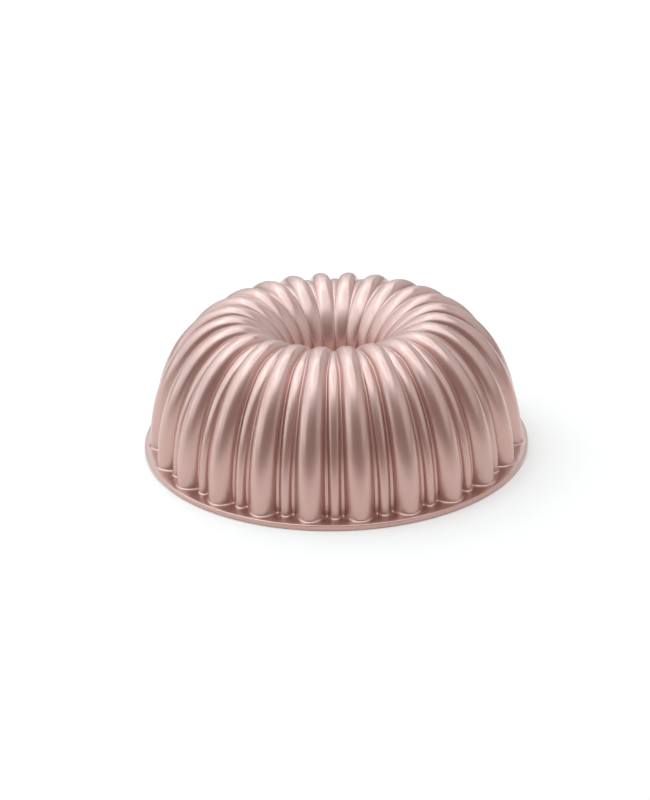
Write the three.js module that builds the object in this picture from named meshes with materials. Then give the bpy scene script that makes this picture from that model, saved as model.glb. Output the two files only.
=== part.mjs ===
// Fluted ring cake mould, standing upside down on its rim as it is stored and shown.
// Millimetres, +Z up. The origin is the centre of the flat underside of the rim, and a bead faces -Y.
import * as THREE from 'three';

// The flat rim that the mould stands on.
const RIM_DIAMETER = 260;
const RIM_THICKNESS = 3.4;
const RIM_REACH = 3.9;
const RIM_EDGE_BREAK = 0.8;

// The ring body, measured over the tops of the lobes.
const HEIGHT = 93.6;
const CROWN_DIAMETER = 134;
const TUBE_DIAMETER = 48;
const TUBE_TOP_SHARE = 0.43;
const TUBE_TIP_HEIGHT = 8;

// The wall's draft, and how far each part of the profile runs straight before it bends, as a share of
// its own span.
const WALL_LEAN = 1.6;
const WALL_UPRIGHT = 0.634;
const CROWN_FLAT_OUTSIDE = 0.424;
const CROWN_FLAT_INSIDE = 0.24;
const FUNNEL_HEIGHT = 0.75;
const TUBE_DRAFT = 0.095;

// Lobes run from the rim over the crown into the tube, and a bead lies in the gap between each two.
// Inside the fade diameter the lobes get lower and the gap closes.
// A taper of 1 makes a lobe a half oval in section, a taper of 2 a parabola, and less than 1 is fuller.
// A bead's relief is a share of the lobe's, as far as its width carries that.
const FLUTES = 24;
const LOBE_RELIEF = 8.8;
const TUBE_RELIEF = 1.2;
const FADE_DIAMETER = 170;
const BASE_GAP = 12.2;
const FOOT_TAPER = 1.5;
const CROWN_TAPER = 0.8;
const BEAD_SHARE = 0.66;
const BEAD_RELIEF = 0.45;
const BEAD_SLENDERNESS = 0.9;

// Metal thickness under the grooves, and the cake side of a lobe.
const WALL = 3;
const CHANNEL_SHARE = 0.19;
const CHANNEL_SLENDERNESS = 1.5;

// The coat on the cake side stops just short of the rim plane.
const LINING = 0.3;
const LINING_SETBACK = 0.5;

// Fineness of the surface: points across a lobe and a bead, and rows along the profile.
const LOBE_STEPS = 6;
const BEAD_STEPS = 4;
const WALL_ROWS = 7;
const CROWN_ROWS = 5;
const MEETING_ROW = 3;
const INNER_ROWS = 3;

const rimRadius = RIM_DIAMETER / 2;
const baseRadius = rimRadius - RIM_REACH;
const crownRadius = CROWN_DIAMETER / 2;
const tubeRadius = TUBE_DIAMETER / 2;
const tubeTop = HEIGHT * TUBE_TOP_SHARE;
const pitchAngle = 2 * Math.PI / FLUTES;

// Profile over the lobes, as radius and height: up the wall, over the crown, down into the tube.
const wallCurve = new THREE.CubicBezierCurve(
  new THREE.Vector2(baseRadius, RIM_THICKNESS),
  new THREE.Vector2(baseRadius - WALL_LEAN, THREE.MathUtils.lerp(RIM_THICKNESS, HEIGHT, WALL_UPRIGHT)),
  new THREE.Vector2(THREE.MathUtils.lerp(crownRadius, baseRadius, CROWN_FLAT_OUTSIDE), HEIGHT),
  new THREE.Vector2(crownRadius, HEIGHT),
);
const funnelRadius = THREE.MathUtils.lerp(tubeRadius, crownRadius, TUBE_DRAFT);
const crownCurve = new THREE.CubicBezierCurve(
  new THREE.Vector2(crownRadius, HEIGHT),
  new THREE.Vector2(THREE.MathUtils.lerp(crownRadius, tubeRadius, CROWN_FLAT_INSIDE), HEIGHT),
  new THREE.Vector2(funnelRadius, THREE.MathUtils.lerp(tubeTop, HEIGHT, FUNNEL_HEIGHT)),
  new THREE.Vector2(tubeRadius, tubeTop),
);

// How much of the flutes is left at a radius: all of it up the wall, nothing of the gap where the lobes meet.
const meetingRadius = crownCurve.getPoint(MEETING_ROW / CROWN_ROWS).x;

function flutesLeft(radius) {
  return THREE.MathUtils.clamp((radius - meetingRadius) / (FADE_DIAMETER / 2 - meetingRadius), 0, 1);
}

// A station is a place on the profile: the top of the lobe there, the way out of the metal, the relief
// and the taper, which changes up the wall and then stays.
function station(point, tangent) {
  const out = new THREE.Vector2(tangent.y, -tangent.x);
  const relief = THREE.MathUtils.lerp(TUBE_RELIEF, LOBE_RELIEF, flutesLeft(point.x));
  const floorRadius = point.x - relief * out.x;
  const climb = point.x > crownRadius ? point.y / HEIGHT : 1;
  const taper = THREE.MathUtils.lerp(FOOT_TAPER, CROWN_TAPER, climb);
  return { point, out, relief, floorRadius, taper };
}

function wallStation(share) {
  return station(wallCurve.getPoint(share), wallCurve.getTangent(share));
}

function crownStation(share) {
  return station(crownCurve.getPoint(share), crownCurve.getTangent(share));
}

function tipStation() {
  const tangent = crownCurve.getTangent(1);
  const top = crownCurve.getPoint(1);
  const run = (TUBE_TIP_HEIGHT - top.y) / tangent.y;
  const point = top.clone().addScaledVector(tangent, run);
  return station(point, tangent);
}

function uprightStation(height) {
  return station(new THREE.Vector2(baseRadius, height), new THREE.Vector2(0, 1));
}

// The gap between lobes narrows with the ring up the wall, and then with the flutes.
const foot = uprightStation(RIM_THICKNESS);

function gapBetweenLobes(place) {
  return BASE_GAP * place.floorRadius / foot.floorRadius * flutesLeft(place.point.x);
}

// A point on flute number n: across is the distance from the lobe's middle, rise the height over the floor.
function flutePoint(place, n, across, rise) {
  const angle = (n + 0.5) * pitchAngle + across / place.floorRadius - Math.PI / 2;
  const depth = rise - place.relief;
  const radius = place.point.x + depth * place.out.x;
  const height = place.point.y + depth * place.out.y;
  return new THREE.Vector3(radius * Math.cos(angle), radius * Math.sin(angle), height);
}

function ringOf(pointsOfFlute) {
  return Array.from({ length: FLUTES }, (_, n) => pointsOfFlute(n)).flat();
}

function lobeRise(place, turn) {
  return place.relief * Math.sin(turn) ** place.taper;
}

// Outside with open grooves: a lobe with both feet, then a half-oval bead.
function groovedRing(place) {
  const pitch = pitchAngle * place.floorRadius;
  const gap = gapBetweenLobes(place);
  const halfLobe = (pitch - gap) / 2;
  const halfBead = gap * BEAD_SHARE / 2;
  const beadRise = Math.min(place.relief * BEAD_RELIEF, 2 * halfBead * BEAD_SLENDERNESS);
  return ringOf((n) => {
    const points = [];
    for (let i = 0; i <= LOBE_STEPS; i += 1) {
      const turn = Math.PI * i / LOBE_STEPS;
      points.push(flutePoint(place, n, -halfLobe * Math.cos(turn), lobeRise(place, turn)));
    }
    for (let i = 0; i <= BEAD_STEPS; i += 1) {
      const turn = Math.PI * i / BEAD_STEPS;
      const across = pitch / 2 - halfBead * Math.cos(turn);
      points.push(flutePoint(place, n, across, beadRise * Math.sin(turn)));
    }
    return points;
  });
}

// Outside where the lobes touch: each valley is a single point shared by two lobes.
function closedRing(place) {
  const halfPitch = pitchAngle * place.floorRadius / 2;
  return ringOf((n) => {
    const points = [];
    for (let i = 0; i < LOBE_STEPS; i += 1) {
      const turn = Math.PI * i / LOBE_STEPS;
      points.push(flutePoint(place, n, -halfPitch * Math.cos(turn), lobeRise(place, turn)));
    }
    return points;
  });
}

// Cake side: a channel under each lobe, as deep as its width allows; inset moves it off the metal.
function innerRing(place, inset) {
  const pitch = pitchAngle * place.floorRadius;
  const halfLobe = (pitch - gapBetweenLobes(place)) / 2;
  const deepest = CHANNEL_SLENDERNESS * Math.max(halfLobe - WALL, 0);
  const channelRise = Math.min(place.relief, deepest);
  const halfChannel = pitch * CHANNEL_SHARE - inset;
  const floor = -WALL - inset;
  return ringOf((n) => {
    const points = [flutePoint(place, n, -pitch / 2, floor)];
    for (let i = 1; i < LOBE_STEPS; i += 1) {
      const turn = Math.PI * (i - 1) / (LOBE_STEPS - 2);
      points.push(flutePoint(place, n, -halfChannel * Math.cos(turn), floor + channelRise * Math.sin(turn)));
    }
    return points;
  });
}

function circleRing(radius, height) {
  return ringOf((n) => {
    const points = [];
    for (let i = 0; i < LOBE_STEPS; i += 1) {
      const angle = (n + i / LOBE_STEPS) * pitchAngle - Math.PI / 2;
      points.push(new THREE.Vector3(radius * Math.cos(angle), radius * Math.sin(angle), height));
    }
    return points;
  });
}

// Which point of one ring faces which of the next. A grooved ring gathers each gap on one valley point.
function facingPoints(from, to) {
  if (from.length === to.length) {
    return from.map((_, i) => [i, i]);
  }
  if (from.length < to.length) {
    return facingPoints(to, from).map(([i, j]) => [j, i]);
  }
  const perFlute = from.length / FLUTES;
  return from.map((_, i) => {
    const flute = Math.floor(i / perFlute);
    const step = Math.min(i % perFlute, LOBE_STEPS);
    return [i, (flute * LOBE_STEPS + step) % to.length];
  });
}

// A closed skin through rings that follow each other round the section of the metal, last to first.
function skinThrough(rings) {
  const points = rings.flat();
  const starts = [];
  let count = 0;
  for (const ring of rings) {
    starts.push(count);
    count += ring.length;
  }
  const triangles = [];
  rings.forEach((ring, k) => {
    const nextRing = (k + 1) % rings.length;
    const pairs = facingPoints(ring, rings[nextRing]);
    pairs.forEach(([i, j], p) => {
      const [iNext, jNext] = pairs[(p + 1) % pairs.length];
      const a = starts[k] + i;
      const aNext = starts[k] + iNext;
      const b = starts[nextRing] + j;
      const bNext = starts[nextRing] + jNext;
      const shortWay = points[aNext].distanceTo(points[b]) < points[a].distanceTo(points[bNext]);
      if (a !== aNext) {
        triangles.push(a, aNext, shortWay ? b : bNext);
      }
      if (b !== bNext) {
        triangles.push(shortWay ? aNext : a, bNext, b);
      }
    });
  });
  const geometry = new THREE.BufferGeometry().setFromPoints(points);
  geometry.setIndex(triangles);
  geometry.computeVertexNormals();
  return geometry;
}

function shares(rows) {
  return Array.from({ length: rows }, (_, i) => (i + 1) / rows);
}

// Outside of the casting, from the foot of the wall to the tip of the tube.
const outsideRings = [foot, ...shares(WALL_ROWS).map(wallStation)].map(groovedRing);
shares(CROWN_ROWS).forEach((share, i) => {
  const ringKind = i + 1 < MEETING_ROW ? groovedRing : closedRing;
  outsideRings.push(ringKind(crownStation(share)));
});
outsideRings.push(closedRing(tipStation()));

// Cake side, from the edge of the coat to the tip of the tube.
const insideStations = [
  uprightStation(LINING_SETBACK),
  foot,
  ...shares(INNER_ROWS).map(wallStation),
  ...shares(INNER_ROWS).map(crownStation),
  tipStation(),
];
const insideRings = insideStations.map((place) => innerRing(place, 0));
const liningRings = insideStations.map((place) => innerRing(place, LINING));

const rimRings = [
  innerRing(uprightStation(0), 0),
  circleRing(rimRadius, 0),
  circleRing(rimRadius, RIM_THICKNESS - RIM_EDGE_BREAK),
  circleRing(rimRadius - RIM_EDGE_BREAK, RIM_THICKNESS),
];

const lacqueredMetal = new THREE.MeshStandardMaterial({
  color: '#c59c93',
  roughness: 0.34,
  metalness: 0.9,
});
const nonstickCoat = new THREE.MeshStandardMaterial({
  color: '#a98078',
  roughness: 0.5,
  metalness: 0.4,
});

const casting = new THREE.Mesh(
  skinThrough([...rimRings, ...outsideRings, ...insideRings.toReversed()]),
  lacqueredMetal,
);
casting.name = 'mould_casting';

const lining = new THREE.Mesh(
  skinThrough([...insideRings, ...liningRings.toReversed()]),
  nonstickCoat,
);
lining.name = 'nonstick_lining';

const mould = new THREE.Group();
mould.add(casting, lining);

export default mould;
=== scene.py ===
import math

import bpy
import numpy as np
from mathutils import Matrix, Vector


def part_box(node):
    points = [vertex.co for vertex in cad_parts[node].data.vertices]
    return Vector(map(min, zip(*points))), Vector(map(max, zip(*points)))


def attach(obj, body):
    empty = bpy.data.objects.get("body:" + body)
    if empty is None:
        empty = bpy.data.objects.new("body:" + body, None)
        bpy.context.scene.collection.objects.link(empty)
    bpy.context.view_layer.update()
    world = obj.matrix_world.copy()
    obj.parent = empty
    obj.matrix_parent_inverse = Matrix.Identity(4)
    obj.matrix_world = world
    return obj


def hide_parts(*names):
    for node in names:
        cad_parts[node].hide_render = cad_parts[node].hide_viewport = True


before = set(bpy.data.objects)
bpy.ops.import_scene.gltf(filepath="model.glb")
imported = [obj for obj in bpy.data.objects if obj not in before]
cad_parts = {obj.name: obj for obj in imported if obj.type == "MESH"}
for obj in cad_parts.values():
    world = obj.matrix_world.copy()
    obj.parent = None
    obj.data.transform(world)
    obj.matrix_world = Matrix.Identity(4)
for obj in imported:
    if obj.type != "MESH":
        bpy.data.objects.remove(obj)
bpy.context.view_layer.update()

bl_info = {
    "name": "Fluted Ring Cake Mould",
    "version": (1, 0, 0),
    "blender": (4, 5, 0),
    "location": "3D View > Sidebar > Cake Mould",
    "description": "Models a fluted ring cake mould standing on its rim, with its lacquer, coat and studio",
    "category": "Object",
}

MM = 0.001
CASTING_LOW, CASTING_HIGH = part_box("mould_casting")

# Steps across half a flute, from the lobe's middle to the bead's: down the lobe, round its foot, round the
# bead's foot and up the bead.
COLUMNS = (10, 4, 3, 5)
# Rows along each stretch of the profile, and steps round an edge.
WALL_ROWS = 22
CROWN_ROWS = 20
TUBE_ROWS = 4
INSIDE_WALL_ROWS = 8
INSIDE_CROWN_ROWS = 8
INSIDE_TUBE_ROWS = 2
EDGE_STEPS = 3
# Points at which half a section is worked out, before its columns are set.
SECTION_SAMPLES = 600
# The columns round a groove begin no higher than this share down the lobe, and end by this share up the
# bead.
LOBE_CLEAR = 0.6
BEAD_CLEAR = 0.5
# How far those columns reach beside a groove, in fillet radii, on the outside and on the cake side.
OUTSIDE_CORNER = 1.4
INSIDE_CORNER = 2.0
# Where flutes are narrow: the widest fillet, and the farthest groove from the lobe's middle, of the pitch.
WIDEST_FILLET = 0.1
FARTHEST_GROOVE = 0.44
WELD_DISTANCE = 0.002 * MM
SMOOTH_ANGLE = math.radians(50)

FLOOR_SIZE = 400.0
FLOOR_DROP = 0.2 * MM
OVERHEAD_HEIGHT = 3.0
PHOTO_FRAME_HEIGHT = 36.0
CAMERA_REACH = 1000.0

# Banks of softboxes: name, azimuths with 0 on the camera's side, elevation, and each panel's width, height
# and power. No panel stands low in front, which gives the lobes their dark middle.
SOFTBOX_BANKS = (
    ("left_softbox", (-120, -90, -60), 30, 1.05, 1.5, 5.3),
    ("right_softbox", (60, 90, 120, 150), 30, 1.05, 1.5, 2.9),
    ("back_softbox", (180, 210), 30, 1.05, 1.5, 4.1),
    ("high_softbox", (-120, -60, 180), 60, 1.3, 1.1, 4.8),
    ("front_softbox", (0, 60), 60, 1.3, 1.1, 1.6),
    ("low_softbox", (-90,), 8, 1.05, 0.7, 2.0),
)


def length(name, description, default):
    return bpy.props.FloatProperty(
        name=name, description=description, default=default, min=0.0, precision=5, unit="LENGTH")


def share(name, description, default):
    return bpy.props.FloatProperty(
        name=name, description=description, default=default, min=0.0, max=2.0, subtype="FACTOR")


def angle(name, description, default):
    return bpy.props.FloatProperty(name=name, description=description, default=default, subtype="ANGLE")


def linear(hex_colour):
    """Linear RGB of an sRGB hex colour."""
    parts = (int(hex_colour[i:i + 2], 16) / 255 for i in (1, 3, 5))
    return tuple(c / 12.92 if c <= 0.04045 else ((c + 0.055) / 1.055) ** 2.4 for c in parts)


def colour(name, description, hex_colour):
    return bpy.props.FloatVectorProperty(
        name=name, description=description, default=linear(hex_colour), size=3, min=0.0, max=1.0,
        subtype="COLOR")


class MouldSizes(bpy.types.PropertyGroup):
    """Sizes of the mould, measured over the tops of the lobes."""
    rim_diameter: length("Rim diameter", "Across the flat rim", CASTING_HIGH.x - CASTING_LOW.x)
    height: length("Height", "From the rim's underside to the crown", CASTING_HIGH.z - CASTING_LOW.z)
    rim_thickness: length("Rim thickness", "Thickness of the flat rim", 3.4 * MM)
    rim_reach: length("Rim reach", "How far the rim stands out past the lobes", 3.9 * MM)
    rim_round: length("Rim edge round", "Radius along the rim's edges", 0.8 * MM)
    foot_round: length("Foot round", "Fillet where the flutes stand on the rim", 1.3 * MM)
    groove_round: length("Groove round", "Fillet in the grooves beside the beads", 0.5 * MM)
    crown_diameter: length("Crown diameter", "Circle on which the crown is highest", 134 * MM)
    tube_diameter: length("Tube diameter", "Across the top of the centre tube", 48 * MM)
    tube_tip: length("Tube tip", "Height of the tube's lower end over the rim plane", 8 * MM)
    tube_top: share("Tube top", "Where the funnel becomes the tube, of the height", 0.43)
    wall_lean: length("Wall lean", "Draft of the wall over its upright part", 1.6 * MM)
    wall_upright: share("Wall upright", "Part of the wall that rises before it bends in", 0.634)
    crown_outside: share("Crown outside", "Flatness of the crown towards the wall", 0.424)
    crown_inside: share("Crown inside", "Flatness of the crown towards the tube", 0.24)
    funnel_height: share("Funnel height", "How high the funnel stays steep", 0.75)
    tube_draft: share("Tube draft", "How much the tube narrows downwards", 0.095)
    flutes: bpy.props.IntProperty(name="Flutes", description="Lobes around the ring", default=24, min=6)
    lobe_relief: length("Lobe relief", "How far a lobe stands out on the wall", 8.8 * MM)
    tube_relief: length("Tube relief", "How far a lobe stands out in the tube", 1.2 * MM)
    fade_diameter: length("Fade diameter", "Inside it the lobes get lower and the gap closes", 170 * MM)
    base_gap: length("Foot gap", "Space between two lobes at the foot", 12.2 * MM)
    foot_taper: share("Foot taper", "Section of a lobe at the foot: 1 is a half oval, 2 a parabola", 1.6)
    crown_taper: share("Crown taper", "Section of a lobe from the crown on", 1.0)
    bead_width: length("Bead width", "Width of a bead where the gap holds it", 7.3 * MM)
    bead_fill: share("Bead fill", "Most of the gap that a bead fills", 0.95)
    crown_groove: length("Crown groove", "Depth of the grooves at the crown", 5.6 * MM)
    bead_relief: share("Bead relief", "Height of a bead at the foot, of the groove's depth", 0.45)
    crown_bead: share("Crown bead relief", "Height of a bead from the crown on, of the groove's depth", 0.26)
    bead_slender: share("Bead slenderness", "Most height of a bead for its width", 0.9)
    meeting: share("Meeting point", "Where the lobes meet, along the crown's inner curve", 0.6)
    wall: length("Wall", "Thickness of the metal under the grooves", 3 * MM)
    channel_share: share("Channel share", "Half width of a channel on the cake side, of the pitch", 0.19)
    channel_slender: share("Channel depth", "Deepest channel for its half width", 1.5)
    lining: length("Coat thickness", "Thickness of the coat on the cake side", 0.3 * MM)
    lining_setback: length("Coat setback", "Height of the coat's edge over the rim plane", 0.5 * MM)


class MouldFinish(bpy.types.PropertyGroup):
    """Colours of the lacquer and the coat."""
    lacquer: colour("Lacquer", "Rose lacquer on the lobes", "#cdaaa2")
    lacquer_deep: colour("Lacquer in the grooves", "Where the lacquer lies thicker", "#c59e95")
    coat: colour("Coat", "Non-stick coat on the cake side", "#a87a70")
    coat_deep: colour("Coat speckle", "Darker specks in the coat", "#8d6259")


class MouldStudio(bpy.types.PropertyGroup):
    """Camera and light."""
    elevation: angle("Elevation", "Camera height angle", math.radians(24.574))
    azimuth: angle("Azimuth", "Camera turn about the mould", math.radians(1.0935))
    roll: angle("Roll", "Camera tilt about its own axis", -0.0212)
    distance: length("Distance", "From the aim point to the camera", 1.048)
    lens: bpy.props.FloatProperty(
        name="Lens", description="Focal length on a 36 mm tall frame", default=69.69, min=1.0,
        subtype="DISTANCE_CAMERA")
    aim_side: bpy.props.FloatProperty(
        name="Aim aside", description="Aim point to the right of the axis", default=-6.95 * MM, unit="LENGTH")
    aim_height: length("Aim height", "Aim point over the rim plane", 28.26 * MM)
    floor: colour("Floor", "White studio table", "#f7f0ec")
    light: colour("Light", "Cool white of the softboxes", "#e2f8ff")
    softbox_distance: length("Softbox distance", "From the mould to each softbox", 2.0)
    overhead: bpy.props.FloatProperty(
        name="Overhead", description="Strength of the light from above", default=1.2, min=0.0)
    overhead_spread: angle("Overhead spread", "How wide the light from above is", math.radians(60))
    room: colour("Room", "Warm grey of the dim room", "#988580")


class Station:
    """A place on the profile: the lobe's top, the way out of the metal, and the flutes' measures there."""

    def __init__(self, top, tangent, relief, groove, gap_share, taper, bead_relief):
        self.top = top
        self.out = np.array((tangent[1], -tangent[0]))
        self.relief = relief
        self.floor_radius = top[0] - relief * self.out[0]
        self.groove = groove
        self.gap = gap_share * self.floor_radius
        self.taper = taper
        self.bead_relief = bead_relief


def bezier(corners, at):
    """Point and unit tangent of a cubic curve in radius and height."""
    a, b, c, d = (np.array(corner) for corner in corners)
    rest = 1 - at
    point = rest ** 3 * a + 3 * rest ** 2 * at * b + 3 * rest * at ** 2 * c + at ** 3 * d
    slope = rest ** 2 * (b - a) + 2 * rest * at * (c - b) + at ** 2 * (d - c)
    return point, slope / np.linalg.norm(slope)


def mix(start, end, amount):
    return start + (end - start) * amount


class Profile:
    """The mould's profile over the lobes: up the wall, over the crown, down into the tube."""

    def __init__(self, sizes):
        self.sizes = sizes
        self.pitch_angle = 2 * math.pi / sizes.flutes
        self.rim_radius = sizes.rim_diameter / 2
        self.base_radius = self.rim_radius - sizes.rim_reach
        self.crown_radius = sizes.crown_diameter / 2
        tube_radius = sizes.tube_diameter / 2
        tube_top = sizes.height * sizes.tube_top
        foot = sizes.rim_thickness
        self.wall_corners = (
            (self.base_radius, foot),
            (self.base_radius - sizes.wall_lean, mix(foot, sizes.height, sizes.wall_upright)),
            (mix(self.crown_radius, self.base_radius, sizes.crown_outside), sizes.height),
            (self.crown_radius, sizes.height),
        )
        self.crown_corners = (
            (self.crown_radius, sizes.height),
            (mix(self.crown_radius, tube_radius, sizes.crown_inside), sizes.height),
            (
                mix(tube_radius, self.crown_radius, sizes.tube_draft),
                mix(tube_top, sizes.height, sizes.funnel_height),
            ),
            (tube_radius, tube_top),
        )
        self.meeting_radius = bezier(self.crown_corners, sizes.meeting)[0][0]

    def station(self, top, tangent):
        """The flutes at a place: whole on the wall, fading inside the fade circle until the lobes meet."""
        sizes = self.sizes
        full = sizes.fade_diameter / 2
        whole = min(max((top[0] - self.meeting_radius) / (full - self.meeting_radius), 0.0), 1.0)
        relief = mix(sizes.tube_relief, sizes.lobe_relief, whole)
        gap_share = sizes.base_gap / (self.base_radius - sizes.lobe_relief) * whole
        climb = top[1] / sizes.height if top[0] > self.crown_radius else 1.0
        sunk = max(self.crown_radius - top[0], 0.0) / (self.crown_radius - self.meeting_radius)
        groove = mix(mix(sizes.lobe_relief, sizes.crown_groove, climb), sizes.tube_relief, min(sunk, 1.0))
        taper = mix(sizes.foot_taper, sizes.crown_taper, climb)
        bead_relief = mix(sizes.bead_relief, sizes.crown_bead, climb)
        return Station(top, tangent, relief, min(groove, relief), gap_share, taper, bead_relief)

    def on_wall(self, at):
        return self.station(*bezier(self.wall_corners, at))

    def on_crown(self, at):
        return self.station(*bezier(self.crown_corners, at))

    def in_tube(self, at):
        end, tangent = bezier(self.crown_corners, 1.0)
        run = (self.sizes.tube_tip - end[1]) / tangent[1] * at
        return self.station(end + tangent * run, tangent)

    def upright(self, height):
        return self.station(np.array((self.base_radius, height)), (0.0, 1.0))


def rolled(profile, step, radius, outwards):
    """The profile moved by a ball that rolls along it; it repeats in mirror image at both ends."""
    reach = max(int(radius / step), 1)
    offsets = np.arange(-reach, reach + 1) * step
    ball = np.sqrt(np.maximum(radius ** 2 - offsets ** 2, 0.0))
    padded = np.pad(profile, reach, mode="reflect")
    windows = np.lib.stride_tricks.sliding_window_view(padded, 2 * reach + 1)
    if outwards:
        return (windows + ball).max(axis=1)
    return (windows - ball).min(axis=1)


def filleted(profile, step, radius):
    """The profile with its inner corners rounded, by a ball that rolls along it and back."""
    return rolled(rolled(profile, step, radius, True), step, radius, False)


def arched(distance, half_width, rise, taper=1.0):
    """Section of a lobe, bead or channel: a half oval at taper 1, a parabola at taper 2."""
    if half_width <= 0:
        return np.zeros_like(distance)
    return rise * np.maximum(1 - (distance / half_width) ** 2, 0.0) ** (taper / 2)


def spaced(across, rise, groove, corner):
    """Columns from a bead's middle over the lobe to the next bead, closer together within a corner's length
    of the groove."""
    run = np.concatenate(([0.0], np.cumsum(np.hypot(np.diff(across), np.diff(rise)))))
    middle = np.interp(groove, across, run)
    before = max(middle - corner, LOBE_CLEAR * middle)
    after = min(middle + corner, mix(middle, run[-1], BEAD_CLEAR))
    marks = (0.0, before, middle, after, run[-1])
    stretches = [np.linspace(start, end, columns, endpoint=False)
                 for start, end, columns in zip(marks, marks[1:], COLUMNS)]
    places = np.concatenate(stretches + [run[-1:]])
    half_across = np.interp(places, run, across)
    half_rise = np.interp(places, run, rise)
    whole_across = np.concatenate((-half_across[:0:-1], half_across))
    whole_rise = np.concatenate((half_rise[:0:-1], half_rise))
    return whole_across, whole_rise


def groove_fillet(sizes, pitch):
    """Radius of the fillet in a groove, smaller where the flutes are narrow."""
    return min(sizes.groove_round, pitch * WIDEST_FILLET)


def outside_section(profile, station, spread=0.0):
    """One pitch of the outside: half a bead, a groove, the lobe, a groove and half a bead."""
    sizes = profile.sizes
    pitch = profile.pitch_angle * station.floor_radius
    half_lobe = (pitch - station.gap) / 2
    half_bead = min(sizes.bead_width, station.gap * sizes.bead_fill) / 2
    across = np.linspace(0.0, pitch / 2, SECTION_SAMPLES)
    step = across[1]
    lobe = arched(across, half_lobe, station.groove, station.taper)
    bead_rise = min(station.groove * station.bead_relief, 2 * half_bead * sizes.bead_slender)
    bead = arched(pitch / 2 - across, half_bead, bead_rise)
    rise = filleted(np.maximum(lobe, bead), step, groove_fillet(sizes, pitch))
    rise += station.relief - station.groove
    if spread > 0:
        rise = rolled(rise, step, spread, True)
    strip = pitch / 2 - half_bead - half_lobe
    groove = min(half_lobe + strip / 2, FARTHEST_GROOVE * pitch)
    return spaced(across, rise, groove, strip / 2 + OUTSIDE_CORNER * sizes.groove_round)


def inside_section(profile, station, inset):
    """One pitch of the cake side: a channel under the lobe between two flat ribs."""
    sizes = profile.sizes
    pitch = profile.pitch_angle * station.floor_radius
    half_lobe = (pitch - station.gap) / 2
    deepest = sizes.channel_slender * max(half_lobe - sizes.wall, 0.0)
    half_channel = pitch * sizes.channel_share - inset
    across = np.linspace(0.0, pitch / 2, SECTION_SAMPLES)
    channel = arched(across, half_channel, min(station.relief, deepest))
    rise = filleted(channel, across[1], groove_fillet(sizes, pitch)) - sizes.wall - inset
    return spaced(across, rise, half_channel, INSIDE_CORNER * sizes.groove_round)


def flute_row(profile, station, section):
    """Places one section in space, on the first flute."""
    across, rise = section
    around = profile.pitch_angle / 2 + across / station.floor_radius - math.pi / 2
    depth = rise - station.relief
    radius = station.top[0] + depth * station.out[0]
    height = station.top[1] + depth * station.out[1]
    return np.stack((radius * np.cos(around), radius * np.sin(around), height), axis=1)


def circle_row(profile, radius, height):
    """A plain row on the rim, with as many columns as a section has."""
    columns = 2 * sum(COLUMNS)
    around = profile.pitch_angle * np.linspace(0.0, 1.0, columns + 1) - math.pi / 2
    heights = np.full(columns + 1, height)
    return np.stack((radius * np.cos(around), radius * np.sin(around), heights), axis=1)


def outside_rows(profile):
    """The outside from the foot of the flutes over the crown to the tip of the tube."""
    sizes = profile.sizes
    rows = []
    for turn in np.linspace(0.0, math.pi / 2, EDGE_STEPS + 2):
        station = profile.upright(sizes.rim_thickness + sizes.foot_round * (1 - math.cos(turn)))
        spread = sizes.foot_round * (1 - math.sin(turn))
        rows.append(flute_row(profile, station, outside_section(profile, station, spread)))
    # A cubic curve sets off at three times its first leg, and the wall's rows start over the foot's fillet.
    clear = sizes.foot_round / (3 * (profile.wall_corners[1][1] - profile.wall_corners[0][1]))
    stations = [profile.on_wall(at) for at in np.linspace(clear, 1.0, WALL_ROWS + 1)[1:]]
    stations += [profile.on_crown(at) for at in np.linspace(0.0, 1.0, CROWN_ROWS + 1)[1:]]
    stations += [profile.in_tube(at) for at in np.linspace(0.0, 1.0, TUBE_ROWS + 1)[1:]]
    rows += [flute_row(profile, station, outside_section(profile, station)) for station in stations]
    return rows


def inside_rows(profile, inset):
    """The cake side from the coat's edge to the tip of the tube."""
    stations = [profile.upright(profile.sizes.lining_setback), profile.upright(profile.sizes.rim_thickness)]
    stations += [profile.on_wall(at) for at in np.linspace(0.0, 1.0, INSIDE_WALL_ROWS + 1)[1:]]
    stations += [profile.on_crown(at) for at in np.linspace(0.0, 1.0, INSIDE_CROWN_ROWS + 1)[1:]]
    stations += [profile.in_tube(at) for at in np.linspace(0.0, 1.0, INSIDE_TUBE_ROWS + 1)[1:]]
    return [flute_row(profile, station, inside_section(profile, station, inset)) for station in stations]


def rim_rows(profile, foot_row):
    """From the mouth under the rim, round the rim's edge and over its top to the foot of the flutes."""
    sizes = profile.sizes
    edge = profile.rim_radius
    upper = sizes.rim_round
    lower = upper / 2
    turns = np.linspace(0.0, math.pi / 2, EDGE_STEPS + 1)
    mouth = profile.upright(0.0)
    rows = [flute_row(profile, mouth, inside_section(profile, mouth, 0.0))]
    rows.append(mix(rows[0], circle_row(profile, edge, 0.0), 0.5))
    for turn in turns:
        radius = edge - lower * (1 - math.sin(turn))
        rows.append(circle_row(profile, radius, lower * (1 - math.cos(turn))))
    for turn in turns:
        radius = edge - upper * (1 - math.cos(turn))
        rows.append(circle_row(profile, radius, sizes.rim_thickness - upper * (1 - math.sin(turn))))
    rows.append(mix(rows[-1], foot_row, 0.5))
    return rows


def flute_grid(name, rows):
    """A grid one flute wide, shaped row by row, closed round the section of the wall."""
    rows = np.array(rows + rows[:1])
    bpy.ops.object.select_all(action="DESELECT")
    bpy.ops.mesh.primitive_grid_add(
        x_subdivisions=rows.shape[1] - 1, y_subdivisions=rows.shape[0] - 1, size=1.0, location=(0, 0, 0))
    piece = bpy.context.object
    piece.name = name
    piece.data.name = name
    if len(piece.data.vertices) != rows.shape[0] * rows.shape[1]:
        raise RuntimeError("the grid has another number of points than the flute")
    piece.data.vertices.foreach_set("co", rows.reshape(-1))
    piece.data.update()
    return piece


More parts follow.
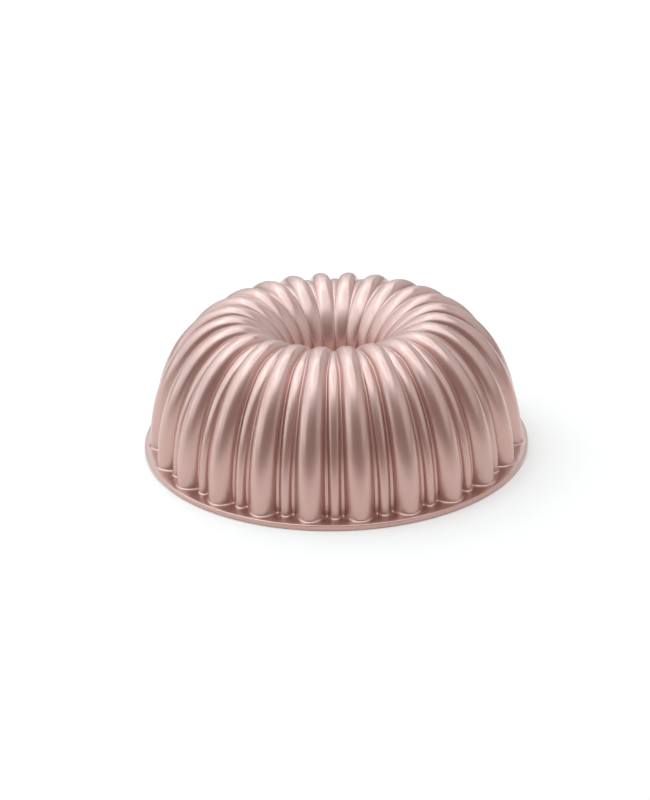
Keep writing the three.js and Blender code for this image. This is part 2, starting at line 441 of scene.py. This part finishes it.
def turned_round(piece, flutes):
    """Copies the flute round the axis, welds the seams and turns the faces outwards."""
    bpy.ops.object.mode_set(mode="EDIT")
    bpy.ops.mesh.select_all(action="SELECT")
    turn = 2 * math.pi * (flutes - 1) / flutes
    bpy.ops.mesh.spin(steps=flutes - 1, dupli=True, angle=turn, center=(0, 0, 0), axis=(0, 0, 1))
    bpy.ops.mesh.select_all(action="SELECT")
    bpy.ops.mesh.remove_doubles(threshold=WELD_DISTANCE)
    bpy.ops.mesh.normals_make_consistent(inside=False)
    bpy.ops.object.mode_set(mode="OBJECT")
    bpy.ops.object.shade_smooth_by_angle(angle=SMOOTH_ANGLE)


def add_node(tree, kind, settings=None, links=None):
    """Adds a shader node, sets its values and links its inputs."""
    node = tree.nodes.new(kind)
    for name, value in (settings or {}).items():
        if name in node.inputs:
            node.inputs[name].default_value = value
        else:
            setattr(node, name, value)
    for name, source in (links or {}).items():
        tree.links.new(source, node.inputs[name])
    return node


def new_material(name):
    material = bpy.data.materials.new(name)
    material.use_nodes = True
    material.node_tree.nodes.clear()
    return material, material.node_tree


def rose_lacquer(finish):
    """Cast aluminium under a sprayed rose metallic lacquer: a soft satin sheen with a faint grain."""
    material, tree = new_material("rose_lacquered_cast_aluminium")
    place = add_node(tree, "ShaderNodeTexCoord").outputs["Object"]
    # Clouds about 25 mm across, where the spray lay a little thicker.
    clouds = add_node(tree, "ShaderNodeTexNoise", {"Scale": 1 / (25 * MM), "Detail": 3.0}, {"Vector": place})
    # Metallic flake, which is finer than 0.1 mm, drawn at 0.8 mm so that it shows.
    flake = add_node(tree, "ShaderNodeTexNoise", {"Scale": 1 / (0.8 * MM), "Detail": 2.0}, {"Vector": place})
    tone = add_node(tree, "ShaderNodeMix", {"data_type": "RGBA"}, {"Factor": clouds.outputs["Fac"]})
    tone.inputs["A"].default_value = (*finish.lacquer, 1.0)
    tone.inputs["B"].default_value = (*finish.lacquer_deep, 1.0)
    gloss = add_node(
        tree, "ShaderNodeMapRange", {"To Min": 0.31, "To Max": 0.35}, {"Value": flake.outputs["Fac"]})
    grain = add_node(
        tree, "ShaderNodeBump", {"Strength": 0.015, "Distance": 0.05 * MM}, {"Height": flake.outputs["Fac"]})
    shader = add_node(
        tree, "ShaderNodeBsdfPrincipled", {"Metallic": 0.95, "Coat Weight": 0.7, "Coat Roughness": 0.22},
        {"Base Color": tone.outputs["Result"], "Roughness": gloss.outputs["Result"],
         "Normal": grain.outputs["Normal"]})
    add_node(tree, "ShaderNodeOutputMaterial", None, {"Surface": shader.outputs["BSDF"]})
    return material


def nonstick_coat(finish):
    """Sprayed non-stick coat, baked on: a dull satin skin with fine dark specks."""
    material, tree = new_material("rose_nonstick_coat")
    place = add_node(tree, "ShaderNodeTexCoord").outputs["Object"]
    # Specks about 0.5 mm, drawn at 1.2 mm so that they show.
    specks = add_node(tree, "ShaderNodeTexNoise", {"Scale": 1 / (1.2 * MM), "Detail": 2.0}, {"Vector": place})
    tone = add_node(tree, "ShaderNodeMix", {"data_type": "RGBA"}, {"Factor": specks.outputs["Fac"]})
    tone.inputs["A"].default_value = (*finish.coat, 1.0)
    tone.inputs["B"].default_value = (*finish.coat_deep, 1.0)
    gloss = add_node(
        tree, "ShaderNodeMapRange", {"To Min": 0.42, "To Max": 0.55}, {"Value": specks.outputs["Fac"]})
    shader = add_node(
        tree, "ShaderNodeBsdfPrincipled", {"Metallic": 0.45},
        {"Base Color": tone.outputs["Result"], "Roughness": gloss.outputs["Result"]})
    add_node(tree, "ShaderNodeOutputMaterial", None, {"Surface": shader.outputs["BSDF"]})
    return material


def white_acrylic(studio):
    """Cast white acrylic sheet, rubbed matt: an even white table without a mirror image."""
    material, tree = new_material("white_acrylic")
    shader = add_node(
        tree, "ShaderNodeBsdfPrincipled", {"Base Color": (*studio.floor, 1.0), "Roughness": 0.9})
    add_node(tree, "ShaderNodeOutputMaterial", None, {"Surface": shader.outputs["BSDF"]})
    return material


class MOULD_OT_add_casting(bpy.types.Operator):
    """Models the fluted casting, from the rim over the crown to the tip of the tube"""
    bl_idname = "mould.add_casting"
    bl_label = "Add Casting"

    def execute(self, context):
        sizes = context.scene.mould_sizes
        profile = Profile(sizes)
        outside = outside_rows(profile)
        rows = rim_rows(profile, outside[0]) + outside + inside_rows(profile, 0.0)[::-1]
        casting = flute_grid("fluted_casting", rows)
        turned_round(casting, sizes.flutes)
        casting.data.materials.append(rose_lacquer(context.scene.mould_finish))
        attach(casting, "root")
        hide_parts("mould_casting")
        return {"FINISHED"}


class MOULD_OT_add_lining(bpy.types.Operator):
    """Models the coat on the cake side of the casting"""
    bl_idname = "mould.add_lining"
    bl_label = "Add Lining"

    def execute(self, context):
        sizes = context.scene.mould_sizes
        profile = Profile(sizes)
        rows = inside_rows(profile, 0.0) + inside_rows(profile, sizes.lining)[::-1]
        lining = flute_grid("cake_side_coat", rows)
        turned_round(lining, sizes.flutes)
        lining.data.materials.append(nonstick_coat(context.scene.mould_finish))
        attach(lining, "root")
        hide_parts("nonstick_lining")
        return {"FINISHED"}


def add_softbox(studio, name, azimuth, elevation, width, height, power):
    """A panel of light that faces the mould."""
    turn, lift = math.radians(azimuth), math.radians(elevation)
    away = Vector((math.sin(turn) * math.cos(lift), -math.cos(turn) * math.cos(lift), math.sin(lift)))
    bpy.ops.object.light_add(type="AREA", location=away * studio.softbox_distance)
    panel = bpy.context.object
    panel.name = name
    panel.data.shape = "RECTANGLE"
    panel.data.size = width
    panel.data.size_y = height
    panel.data.energy = power
    panel.data.color = studio.light
    panel.rotation_euler = (-away).to_track_quat("-Z", "Y").to_euler()
    panel.visible_camera = False


def add_camera(studio):
    """A camera at the photograph's viewing angle, aimed beside the mould's axis."""
    lift = studio.elevation
    back = Vector((0, -math.cos(lift), math.sin(lift)))
    right = Vector((1, 0, 0))
    up = back.cross(right)
    tilt = Matrix.Rotation(studio.roll, 3, back)
    axes = Matrix((tilt @ right, tilt @ up, back)).transposed()
    aim = Vector((studio.aim_side, 0, studio.aim_height))
    turn = Matrix.Rotation(studio.azimuth, 4, "Z")
    bpy.ops.object.camera_add()
    camera = bpy.context.object
    camera.name = "photo_camera"
    camera.matrix_world = turn @ (Matrix.Translation(aim + back * studio.distance) @ axes.to_4x4())
    camera.data.sensor_fit = "VERTICAL"
    camera.data.sensor_height = PHOTO_FRAME_HEIGHT
    camera.data.lens = studio.lens
    camera.data.clip_end = CAMERA_REACH
    bpy.context.scene.camera = camera


class MOULD_OT_add_stage(bpy.types.Operator):
    """Sets up the floor, the soft lights and the camera"""
    bl_idname = "mould.add_stage"
    bl_label = "Add Stage"

    def execute(self, context):
        studio = context.scene.mould_studio
        bpy.ops.object.select_all(action="DESELECT")
        bpy.ops.mesh.primitive_plane_add(size=FLOOR_SIZE, location=(0, 0, -FLOOR_DROP))
        floor = context.object
        floor.name = "studio_floor"
        floor.data.materials.append(white_acrylic(studio))

        bpy.ops.object.light_add(type="SUN", location=(0, 0, OVERHEAD_HEIGHT))
        overhead = context.object
        overhead.name = "overhead_softlight"
        overhead.data.energy = studio.overhead
        overhead.data.angle = studio.overhead_spread
        overhead.data.color = studio.light
        for name, azimuths, *panel in SOFTBOX_BANKS:
            for azimuth in azimuths:
                add_softbox(studio, name, azimuth, *panel)

        room = bpy.data.worlds.new("studio_room")
        room.use_nodes = True
        room.node_tree.nodes["Background"].inputs["Color"].default_value = (*studio.room, 1.0)
        context.scene.world = room
        context.scene.view_settings.view_transform = "Standard"
        add_camera(studio)
        return {"FINISHED"}


class MOULD_PT_sidebar(bpy.types.Panel):
    """Lists the steps that build the mould"""
    bl_label = "Cake Mould"
    bl_idname = "MOULD_PT_sidebar"
    bl_space_type = "VIEW_3D"
    bl_region_type = "UI"
    bl_category = "Cake Mould"

    def draw(self, context):
        layout = self.layout
        for operator in OPERATORS:
            layout.operator(operator.bl_idname)
        for group in (context.scene.mould_sizes, context.scene.mould_finish, context.scene.mould_studio):
            box = layout.box()
            for name in group.bl_rna.properties.keys():
                if name not in ("rna_type", "name"):
                    box.prop(group, name)


OPERATORS = (MOULD_OT_add_casting, MOULD_OT_add_lining, MOULD_OT_add_stage)
CLASSES = (MouldSizes, MouldFinish, MouldStudio, *OPERATORS, MOULD_PT_sidebar)


def register():
    for cls in CLASSES:
        bpy.utils.register_class(cls)
    bpy.types.Scene.mould_sizes = bpy.props.PointerProperty(type=MouldSizes)
    bpy.types.Scene.mould_finish = bpy.props.PointerProperty(type=MouldFinish)
    bpy.types.Scene.mould_studio = bpy.props.PointerProperty(type=MouldStudio)


def unregister():
    del bpy.types.Scene.mould_studio
    del bpy.types.Scene.mould_finish
    del bpy.types.Scene.mould_sizes
    for cls in reversed(CLASSES):
        bpy.utils.unregister_class(cls)


def main():
    register()
    bpy.ops.mould.add_casting()
    bpy.ops.mould.add_lining()
    bpy.ops.mould.add_stage()


if __name__ == "__main__":
    main()
